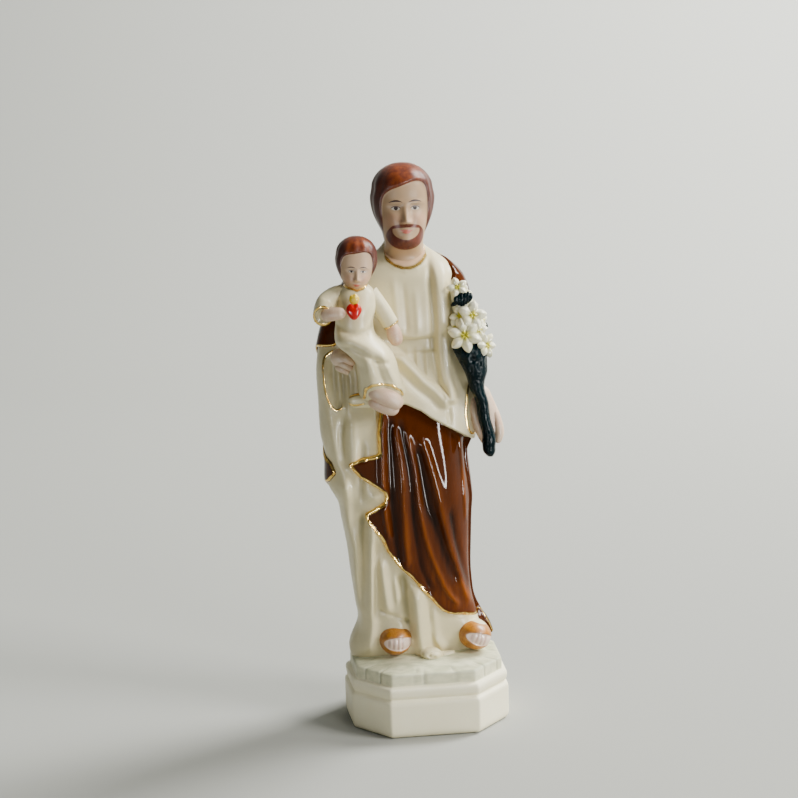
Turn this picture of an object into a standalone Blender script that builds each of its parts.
"""Glazed porcelain figurine: a bearded man in a long robe with a child on his right arm and lilies in
his left hand, cast in one piece with an octagonal plinth. Metres, +Z up, front towards -Y, origin in
the middle of the plinth's underside."""

import math

import bmesh
import bpy
import numpy as np
from mathutils import Euler, Matrix, Vector

# Driving dimensions
HEIGHT = 0.200
PLINTH_WIDTH = 0.0565
PLINTH_DEPTH = 0.044
PLINTH_CHAMFER = 0.0125
PLINTH_CORNER_RADIUS = 0.0012
# The figure's own sizes are in millimetres of a 200 mm statue.
MM = HEIGHT / 200

# How fine the cast is
VOXEL = 0.75 * MM
TRIANGLES = 9200

# The plinth's profile: height and how far it stands in from the widest outline
PLINTH_PROFILE = [
    (0.0, 0.8),
    (0.8, 0.0),
    (13.2, 0.0),
    (13.8, 0.5),
    (14.5, 1.1),
    (15.4, 0.6),
    (17.8, 0.4),
    (18.5, 1.0),
    (18.6, 2.2),
    (22.4, 2.2),
    (23.1, 2.9),
    (24.0, 6.0),
    (24.6, 10.0),
]

# Robe and cloak: height, left edge, right edge, front and back, seen from the front
ROBE = [
    (23.0, -25.4, 21.0, -4.6, 17.0),
    (28.0, -26.0, 20.8, -4.8, 17.0),
    (32.0, -25.6, 20.4, -5.2, 16.7),
    (37.0, -24.4, 19.2, -5.9, 16.2),
    (44.0, -25.2, 17.3, -7.0, 15.6),
    (54.0, -26.4, 16.2, -8.3, 15.0),
    (66.0, -27.6, 16.3, -9.6, 14.6),
    (76.0, -29.2, 16.7, -10.6, 14.4),
    (82.0, -30.2, 17.1, -11.1, 14.4),
    (88.0, -33.2, 16.7, -11.5, 14.6),
    (98.0, -33.6, 15.7, -11.8, 14.8),
    (106.0, -35.2, 15.7, -11.7, 14.6),
    (118.0, -35.6, 16.2, -10.6, 14.0),
    (132.0, -35.6, 16.4, -9.0, 13.0),
    (139.0, -34.4, 16.4, -8.6, 12.6),
    (146.0, -32.4, 16.6, -9.8, 12.6),
    (152.0, -29.4, 16.8, -9.9, 12.6),
    (158.0, -25.8, 16.2, -9.1, 12.2),
    (162.0, -22.8, 14.6, -7.8, 11.2),
    (165.5, -19.0, 11.4, -5.4, 9.8),
    (168.5, -15.0, 7.4, -2.2, 8.8),
    (171.5, -11.4, 3.4, 0.6, 7.8),
]
ROBE_SQUARENESS = 2.5

# The child's gown, in the same columns
GOWN = [
    (120.8, -20.6, -8.4, -19.6, -8.0),
    (122.4, -22.2, -6.9, -22.0, -8.0),
    (127.0, -22.8, -7.3, -24.0, -8.0),
    (134.0, -24.0, -9.2, -25.2, -8.0),
    (139.0, -26.6, -11.8, -24.6, -8.0),
    (144.0, -27.7, -16.0, -21.6, -8.0),
    (148.0, -28.0, -16.4, -21.2, -8.0),
    (154.0, -28.8, -15.4, -21.6, -8.0),
    (158.5, -27.6, -16.0, -19.8, -8.4),
    (161.5, -25.0, -18.6, -17.4, -9.4),
]
GOWN_SQUARENESS = 2.3

# The lily sheath from its stem end to its mouth
SHEATH = [
    (98.2, 22.2, 23.6, -12.0, -9.0),
    (100.4, 20.8, 24.8, -13.0, -7.6),
    (107.0, 20.0, 24.5, -13.4, -7.0),
    (117.0, 18.2, 22.7, -13.8, -6.6),
    (126.0, 15.6, 22.4, -14.2, -6.0),
    (132.0, 13.0, 23.0, -14.6, -5.6),
    (137.8, 10.9, 21.6, -13.6, -5.6),
]
SHEATH_SQUARENESS = 2.0

# Front folds: how far each stands out, its half-width, and its path as (height, x) from the top down
FOLDS = [
    # Apron over the legs: rounds and valleys that fan from under the child's feet
    (1.2, 1.4, [(112, -15.0), (100, -15.3), (91, -15.5)]),
    (-1.4, 1.1, [(109, -12.4), (91, -12.7), (80, -12.1), (67, -11.3)]),
    (1.0, 1.4, [(107, -10.6), (93, -8.6), (80, -8.3), (62, -7.4)]),
    (-1.3, 1.0, [(110, -8.9), (91, -7.0), (80, -5.6), (67, -3.7), (51, 0.7)]),
    (1.0, 1.4, [(106, -6.3), (96, -5.0), (80, -2.5), (64, 1.3), (55, 4.2), (45, 9.6)]),
    (-1.9, 1.8, [(102, -3.6), (87, -0.9), (73, 3.2), (57, 7.9), (48, 10.9)]),
    (0.9, 1.5, [(98, -0.3), (89, 1.0), (80, 3.2), (69, 6.0), (60, 9.3), (50, 12.4)]),
    # Skirt beside and below the apron
    (1.5, 2.2, [(91, -28.1), (77, -27.8), (64, -25.4), (50, -25.0)]),
    (-1.3, 1.6, [(78, -22.1), (58, -22.8), (45, -23.3)]),
    (1.5, 1.4, [(76, -19.3), (61, -19.8), (48, -20.0), (26, -20.5)]),
    (-1.2, 1.1, [(67, -17.7), (54, -18.2), (38, -18.2)]),
    (1.0, 1.5, [(61, -16.3), (51, -15.4), (43, -14.4)]),
    (-1.8, 1.5, [(57, -9.0), (43, -7.3), (31, -6.6)]),
    (2.3, 2.6, [(50, -4.7), (38, -3.4), (22, -2.2)]),
    (-1.1, 1.2, [(41, 0.8), (31, 1.9)]),
    (1.0, 1.6, [(40, 3.2), (27, 5.0)]),
    # Hanging right sleeve
    (1.3, 1.8, [(130, -34.2), (114, -32.7), (106, -31.4), (99, -30.4), (95, -29.4)]),
    (-1.7, 2.2, [(134, -30.2), (121, -30.4), (115, -29.0)]),
    (-1.3, 1.6, [(113, -27.6), (98, -28.2)]),
    (0.8, 2.0, [(112, -24.9), (96, -24.9)]),
    # Scarf that falls from the left shoulder
    (1.7, 3.1, [(165, 7.0), (150, 7.9), (138, 7.8), (127, 8.7), (118.5, 9.9)]),
    # Tunic gathers under the belt
    (0.6, 0.8, [(134.5, -4.6), (126, -3.8)]),
    (0.6, 0.8, [(134.5, -1.4), (122, -1.0)]),
    (0.6, 0.8, [(134.5, 1.9), (120, 2.2)]),
]

# Mantle edge that swings across the front, from the child's hand to the left hand: (x, height)
SASH = [(-12.0, 139.0), (-6.0, 133.6), (-1.0, 127.4), (4.0, 122.6), (8.0, 117.5)]
SASH_RISE = 1.9
# Where the white mantle ends over the brown apron: (x, height)
MANTLE_HEM = [(-16.5, 119.0), (-6.2, 117.8), (-1.0, 115.1), (5.8, 109.8), (13.9, 103.4), (21.0, 102.6)]
MANTLE_LEFT_END = -11.0
MANTLE_RISE = 1.5
BELT = (135.9, 140.4)
BELT_DEPTH = 1.1

# The apron's free edge on the front, from the top round its two points to the hem: (x, height)
APRON_EDGE = [
    (-15.6, 121.0),
    (-16.3, 108.0),
    (-16.1, 101.0),
    (-21.4, 99.9),
    (-26.8, 97.5),
    (-22.7, 92.3),
    (-15.0, 87.3),
    (-14.6, 83.8),
    (-21.6, 79.1),
    (-21.2, 77.1),
    (-16.6, 70.8),
    (-14.2, 65.2),
    (-9.4, 58.1),
    (-5.3, 54.0),
    (3.3, 42.7),
    (7.0, 39.8),
    (12.0, 38.9),
    (18.5, 39.4),
]
APRON_RISE = 1.4

# Back of the cloak: hanging folds that spread from the shoulders
BACK_FOLDS = [-19.0, -10.5, -2.0, 6.0, 12.0]
BACK_FOLD_RISE = 1.5
BACK_FOLD_HALF_WIDTH = 2.0
BACK_FOLD_GATHER = (170.0, 0.45)

# Round forms: centre, radii, and turns about x, y and z in degrees
BALLS = [
    # Man's hair, its fringe, the hair over the neck, and two ears
    ((-3.8, 2.2, 187.4), (10.9, 11.0, 12.6), (0, 0, 0)),
    ((-4.8, -2.6, 193.4), (8.2, 8.2, 5.6), (0, -12, 0)),
    ((-3.7, 4.4, 179.4), (9.4, 8.2, 7.8), (0, 0, 0)),
    ((-11.9, -2.6, 182.0), (1.1, 1.6, 2.4), (0, 0, 0)),
    ((4.5, -2.6, 182.0), (1.1, 1.6, 2.4), (0, 0, 0)),
    # Man's face, brow, nose, cheeks, lips and beard
    ((-3.7, -2.8, 182.0), (8.2, 8.4, 11.4), (0, 0, 0)),
    ((-3.7, -8.6, 187.2), (5.6, 2.9, 1.6), (0, 0, 0)),
    ((-3.7, -11.2, 182.6), (1.5, 2.0, 3.4), (-16, 0, 0)),
    ((-7.6, -8.2, 180.8), (2.6, 2.4, 2.6), (0, 0, 0)),
    ((0.2, -8.2, 180.8), (2.6, 2.4, 2.6), (0, 0, 0)),
    ((-3.7, -10.6, 176.9), (2.2, 1.2, 1.0), (0, 0, 0)),
    ((-4.0, -4.6, 174.4), (6.9, 7.2, 4.6), (0, 0, 0)),
    # Child's hair, fringe, face, nose
    ((-21.6, -12.8, 168.6), (7.1, 7.2, 8.1), (0, 0, 0)),
    ((-22.2, -15.6, 172.2), (5.6, 5.4, 3.7), (0, -12, 0)),
    ((-21.7, -15.8, 165.6), (5.7, 5.8, 6.8), (0, 0, 0)),
    ((-21.8, -21.7, 165.8), (0.9, 1.0, 1.2), (0, 0, 0)),
    # Child's left hand, heart, flame, two feet
    ((-8.3, -13.6, 142.0), (2.6, 2.6, 4.4), (0, -30, 0)),
    ((-23.5, -24.0, 152.6), (2.5, 1.7, 2.8), (0, 0, 0)),
    ((-23.3, -23.4, 156.8), (1.5, 1.3, 1.7), (0, 0, 0)),
    ((-14.0, -20.4, 122.4), (6.8, 3.4, 3.4), (0, 18, 0)),
    ((-12.6, -19.6, 119.3), (5.4, 3.2, 2.7), (0, 14, 0)),
    # Man's right hand under the child, his two feet, and the cloak's end behind his left foot
    ((-27.2, -12.2, 133.6), (4.7, 4.4, 3.7), (0, 10, 0)),
    ((-10.8, -1.0, 26.0), (5.6, 8.9, 8.6), (0, 0, 0)),
    ((17.0, -0.6, 26.4), (6.0, 8.8, 8.8), (0, 0, 14)),
    ((19.6, 5.4, 27.0), (4.6, 6.0, 7.0), (0, 0, 0)),
    # Curl of the hem on the ground
    ((1.2, -6.4, 24.8), (3.4, 2.2, 1.7), (0, 0, 0)),
    # Bouquet's body, four blooms and a leaf
    ((16.6, -5.6, 146.0), (5.4, 6.0, 12.6), (0, 8, 0)),
    ((12.8, -10.2, 158.0), (3.3, 1.7, 2.8), (0, 0, 0)),
    ((14.6, -10.8, 153.6), (3.4, 1.6, 2.6), (0, 0, 0)),
    ((17.6, -11.0, 147.9), (4.4, 2.0, 4.2), (0, 0, 0)),
    ((14.3, -12.4, 141.5), (5.0, 2.0, 4.6), (0, 0, 0)),
    ((22.3, -9.4, 136.4), (3.8, 3.0, 4.8), (0, 0, 0)),
]

# Limbs and tubes: (x, y, z, radius) along the middle line
LIMBS = [
    # Man's neck
    [(-4.0, 3.4, 158.0, 7.4), (-3.9, 2.4, 168.0, 7.0), (-3.8, 1.4, 178.0, 6.6)],
    # Man's left arm in its sleeve, then the hand round the sheath
    [(11.6, 2.0, 161.0, 4.6), (14.0, 2.0, 151.0, 5.2), (17.0, 0.4, 138.0, 5.2),
     (19.4, -2.6, 126.0, 4.7), (19.6, -4.6, 114.0, 4.4), (17.6, -4.0, 106.5, 3.2)],
    [(20.2, -5.4, 119.0, 3.5), (23.2, -6.6, 110.0, 3.9), (25.0, -6.8, 104.6, 3.0), (24.6, -8.0, 102.0, 2.0)],
    # Child's neck
    [(-22.0, -13.6, 157.0, 4.0), (-21.8, -14.4, 163.0, 3.8)],
    # Child's right sleeve and forearm, then the left sleeve
    [(-26.0, -14.4, 158.0, 2.9), (-30.6, -15.2, 155.6, 3.8), (-32.8, -17.0, 151.8, 4.0)],
    [(-33.2, -18.6, 151.4, 2.7), (-29.6, -21.6, 151.6, 2.5), (-25.4, -23.4, 152.2, 1.8)],
    [(-17.2, -14.0, 157.4, 3.0), (-13.5, -14.8, 152.4, 3.1), (-10.4, -14.2, 146.4, 2.9)],
]
LIMB_SIDES_RESOLUTION = 4

SECTION_POINTS = 120
RING_STEP = 1.5
BALL_SEGMENTS = 24
BALL_RINGS = 16


def clear_scene():
    for found in list(bpy.data.objects):
        bpy.data.objects.remove(found, do_unlink=True)


def collection(name):
    made = bpy.data.collections.new(name)
    bpy.context.scene.collection.children.link(made)
    return made


def glaze_material():
    """Ivory glazed porcelain."""
    material = bpy.data.materials.new("ivory_glaze")
    material.use_nodes = True
    shader = material.node_tree.nodes["Principled BSDF"]
    shader.inputs["Base Color"].default_value = (0.78, 0.75, 0.66, 1)
    shader.inputs["Roughness"].default_value = 0.3
    shader.inputs["Metallic"].default_value = 0.0
    return material


def smooth_steps(rows, heights):
    """Each column of rows against its first one, as a smooth curve through the rows."""
    rows = np.array(rows, float)
    known = rows[:, 0]
    slopes = np.gradient(rows[:, 1:], known, axis=0)
    at = np.clip(np.searchsorted(known, heights, side="right") - 1, 0, len(known) - 2)
    span = (known[at + 1] - known[at])[:, None]
    share = ((heights - known[at]))[:, None] / span
    start, end = rows[at, 1:], rows[at + 1, 1:]
    lead, tail = slopes[at] * span, slopes[at + 1] * span
    return (
        start * (2 * share**3 - 3 * share**2 + 1)
        + lead * (share**3 - 2 * share**2 + share)
        + end * (3 * share**2 - 2 * share**3)
        + tail * (share**3 - share**2)
    )


def ease(value, low, high):
    """0 below low, 1 above high and a smooth step between."""
    share = np.clip((value - low) / (high - low), 0, 1)
    return share * share * (3 - 2 * share)


def section_grid(rows, squareness):
    """Rounded sections stacked from a table of edges: arrays of x, y and z, one row to a height, and
    how far each point faces the front (1) or the back (-1)."""
    count = max(2, int((rows[-1][0] - rows[0][0]) / RING_STEP))
    heights = np.linspace(rows[0][0], rows[-1][0], count)
    left, right, front, back = (column[:, None] for column in smooth_steps(rows, heights).T)
    turn = np.linspace(0, 2 * math.pi, SECTION_POINTS, endpoint=False)[None, :]
    across = np.sign(np.cos(turn)) * np.abs(np.cos(turn)) ** (2 / squareness)
    along = np.sign(np.sin(turn)) * np.abs(np.sin(turn)) ** (2 / squareness)
    middle = (front + back) / 2
    x = (left + right) / 2 + (right - left) / 2 * across
    y = middle + (back - front) / 2 * along
    z = np.broadcast_to(heights[:, None], x.shape)
    return x, y, z.copy(), np.broadcast_to(-np.sin(turn), x.shape)


def fold(x, z, rise, half_width, path):
    """A rounded ridge, or a valley if rise is negative, along a path and faded at its two ends."""
    heights = np.array([point[0] for point in path][::-1], float)
    places = np.array([point[1] for point in path][::-1], float)
    off = (x - np.interp(z, heights, places)) / half_width
    fade = ease(z, heights[0] - 5, heights[0] + 2) * (1 - ease(z, heights[-1] - 2, heights[-1] + 5))
    return rise * np.exp(-off * off) * fade


def below_line(x, z, line, softness):
    """1 under a line given as (x, height) points, 0 over it."""
    edge = np.interp(x, [point[0] for point in line], [point[1] for point in line])
    return 1 - ease(z - edge, -softness, softness)


def right_of_line(x, z, line, softness):
    """1 to the right of a line that runs downwards, 0 to its left, by distance from the nearest leg."""
    corners = np.array(line, float)
    nearest = np.full(x.shape, 1e9)
    side = np.zeros(x.shape)
    for start, end in zip(corners[:-1], corners[1:]):
        leg = end - start
        share = np.clip(((x - start[0]) * leg[0] + (z - start[1]) * leg[1]) / (leg @ leg), 0, 1)
        away_x = x - start[0] - share * leg[0]
        away_z = z - start[1] - share * leg[1]
        distance = np.hypot(away_x, away_z)
        crossing = (start[1] > z) != (end[1] > z)
        at_x = start[0] + (z - start[1]) * leg[0] / (leg[1] if leg[1] else 1e-9)
        side = side + np.where(crossing & (x > at_x), 1, 0)
        nearest = np.minimum(nearest, distance)
    signed = np.where(side % 2 == 1, nearest, -nearest)
    return ease(signed, -softness, softness)


def front_relief(x, z):
    """How far the clothes stand out of the robe's plain front, in figure millimetres."""
    out = sum(fold(x, z, *one) for one in FOLDS)
    under_hem = below_line(x, z, MANTLE_HEM, 0.5)
    under_sash = below_line(x, z, SASH, 0.7) * ease(x, -14, -11) * (1 - ease(x, 7, 9))
    mantle = (1 - under_hem) * ease(x, MANTLE_LEFT_END - 2, MANTLE_LEFT_END + 2)
    out = out + MANTLE_RISE * mantle * ease(z, 101, 103) * (1 - ease(z, 118, 128))
    out = out + SASH_RISE * under_sash * (1 - under_hem)
    out = out + APRON_RISE * right_of_line(x, z, APRON_EDGE, 0.4) * under_hem
    knee = np.exp(-(((x - 8.5) / 5.5) ** 2) - ((z - 90) / 15) ** 2)
    out = out + 1.3 * knee
    belt = ease(z, BELT[0] - 1, BELT[0] + 0.5) * (1 - ease(z, BELT[1] - 0.3, BELT[1] + 1.2))
    out = out - BELT_DEPTH * belt * ease(x, -13, -10) * (1 - ease(x, 4.6, 5.4))
    return out


def back_relief(x, z):
    """Long folds down the cloak's back that run together towards the shoulders."""
    top, share = BACK_FOLD_GATHER
    return sum(
        fold(x, z, BACK_FOLD_RISE, BACK_FOLD_HALF_WIDTH, [(top, place * share), (28, place)])
        for place in BACK_FOLDS
    )


def loft(name, x, y, z):
    """A closed body through rows of points, bottom row first, with a face over each end."""
    rows, columns = x.shape
    body = bmesh.new()
    points = np.stack([x, y, z], axis=-1).reshape(-1, 3) * MM
    corners = [body.verts.new(point) for point in points]
    for row in range(rows - 1):
        for column in range(columns):
            beside = (column + 1) % columns
            low, high = row * columns, (row + 1) * columns
            body.faces.new(
                (corners[low + column], corners[low + beside], corners[high + beside], corners[high + column])
            )
    body.faces.new(corners[:columns][::-1])
    body.faces.new(corners[(rows - 1) * columns:])
    mesh = bpy.data.meshes.new(name)
    body.to_mesh(mesh)
    body.free()
    return bpy.data.objects.new(name, mesh)


def robe():
    x, y, z, facing = section_grid(ROBE, ROBE_SQUARENESS)
    ahead = ease(facing, 0.0, 0.45)
    behind = ease(-facing, 0.1, 0.5)
    y = y - front_relief(x, z) * ahead + back_relief(x, z) * behind
    return loft("robe", x, y, z)


def plain_loft(name, rows, squareness):
    x, y, z, _ = section_grid(rows, squareness)
    return loft(name, x, y, z)


def ball(name, centre, radii, turns):
    body = bmesh.new()
    place = (
        Matrix.Translation(Vector(centre) * MM)
        @ Euler([math.radians(turn) for turn in turns]).to_matrix().to_4x4()
        @ Matrix.Diagonal((*(Vector(radii) * MM), 1))
    )
    bmesh.ops.create_uvsphere(body, u_segments=BALL_SEGMENTS, v_segments=BALL_RINGS, radius=1, matrix=place)
    mesh = bpy.data.meshes.new(name)
    body.to_mesh(mesh)
    body.free()
    return bpy.data.objects.new(name, mesh)


def limb(name, stations, home):
    """A round bar along a curve, as thick at each station as its fourth number says."""
    curve = bpy.data.curves.new(name, "CURVE")
    curve.dimensions = "3D"
    curve.bevel_depth = MM
    curve.bevel_resolution = LIMB_SIDES_RESOLUTION
    curve.use_fill_caps = True
    curve.render_resolution_u = 0
    spline = curve.splines.new("BEZIER")
    spline.bezier_points.add(len(stations) - 1)
    for point, (x, y, z, radius) in zip(spline.bezier_points, stations):
        point.co = Vector((x, y, z)) * MM
        point.radius = radius
        point.handle_left_type = "AUTO"
        point.handle_right_type = "AUTO"
    bar = bpy.data.objects.new(name, curve)
    home.objects.link(bar)
    bpy.context.view_layer.update()
    mesh = bpy.data.meshes.new_from_object(bar.evaluated_get(bpy.context.evaluated_depsgraph_get()))
    bpy.data.objects.remove(bar)
    body = bmesh.new()
    body.from_mesh(mesh)
    bmesh.ops.remove_doubles(body, verts=body.verts, dist=0.001 * MM)
    body.to_mesh(mesh)
    body.free()
    return bpy.data.objects.new(name, mesh)


def joined(name, pieces):
    """One object with the meshes of several, which are removed."""
    body = bmesh.new()
    for piece in pieces:
        body.from_mesh(piece.data)
        bpy.data.objects.remove(piece)
    mesh = bpy.data.meshes.new(name)
    body.to_mesh(mesh)
    body.free()
    return bpy.data.objects.new(name, mesh)


def figure(home):
    """The man and the child as one skin: the rough forms run together, then thinned to few faces."""
    pieces = [
        robe(),
        plain_loft("gown", GOWN, GOWN_SQUARENESS),
        plain_loft("sheath", SHEATH, SHEATH_SQUARENESS),
    ]
    pieces += [ball(f"ball_{number}", *one) for number, one in enumerate(BALLS)]
    pieces += [limb(f"limb_{number}", one, home) for number, one in enumerate(LIMBS)]
    cast = joined("figure", pieces)
    home.objects.link(cast)
    skin = cast.modifiers.new("one skin", "REMESH")
    skin.mode = "VOXEL"
    skin.voxel_size = VOXEL
    soften = cast.modifiers.new("glaze fills the creases", "SMOOTH")
    soften.factor = 0.5
    soften.iterations = 2
    bpy.context.view_layer.update()
    fine = cast.evaluated_get(bpy.context.evaluated_depsgraph_get())
    faces = sum(len(face.vertices) - 2 for face in fine.data.polygons)
    thin = cast.modifiers.new("fewer faces", "DECIMATE")
    thin.ratio = min(1, TRIANGLES / faces)
    cast.hide_render = True
    cast.display_type = "WIRE"
    return cast


def plinth_ring(inset):
    """The octagon's outline at an inset, its corners rounded by three points each."""
    half_width = PLINTH_WIDTH / MM / 2 - inset
    half_depth = PLINTH_DEPTH / MM / 2 - inset
    chamfer = PLINTH_CHAMFER / MM - inset * (2 - math.sqrt(2))
    radius = PLINTH_CORNER_RADIUS / MM
    quarter = [(half_width, half_depth - chamfer), (half_width - chamfer, half_depth)]
    corners = []
    for sign_x, sign_y in ((1, 1), (-1, 1), (-1, -1), (1, -1)):
        pair = [Vector((x * sign_x, y * sign_y)) for x, y in quarter]
        corners += pair if sign_x * sign_y > 0 else pair[::-1]
    ring = []
    for number, corner in enumerate(corners):
        back = (corners[number - 1] - corner).normalized()
        on = (corners[(number + 1) % len(corners)] - corner).normalized()
        reach = radius * math.tan(math.radians(22.5))
        inward = (back + on).normalized()
        dip = radius * (1 / math.cos(math.radians(22.5)) - 1)
        ring += [corner + back * reach, corner + inward * dip, corner + on * reach]
    return np.array(ring)


def plinth(home, cast, material):
    rings = np.array([plinth_ring(inset) for _, inset in PLINTH_PROFILE])
    heights = np.array([height for height, _ in PLINTH_PROFILE], float)
    z = np.broadcast_to(heights[:, None], rings.shape[:2])
    statue = loft("statue", rings[..., 0], rings[..., 1], z)
    home.objects.link(statue)
    join = statue.modifiers.new("cast with the figure", "BOOLEAN")
    join.operation = "UNION"
    join.solver = "EXACT"
    join.object = cast
    statue.data.materials.append(material)
    return statue


clear_scene()
parts = collection("porcelain figurine")
cutters = collection("cutters")
plinth(parts, figure(cutters), glaze_material())
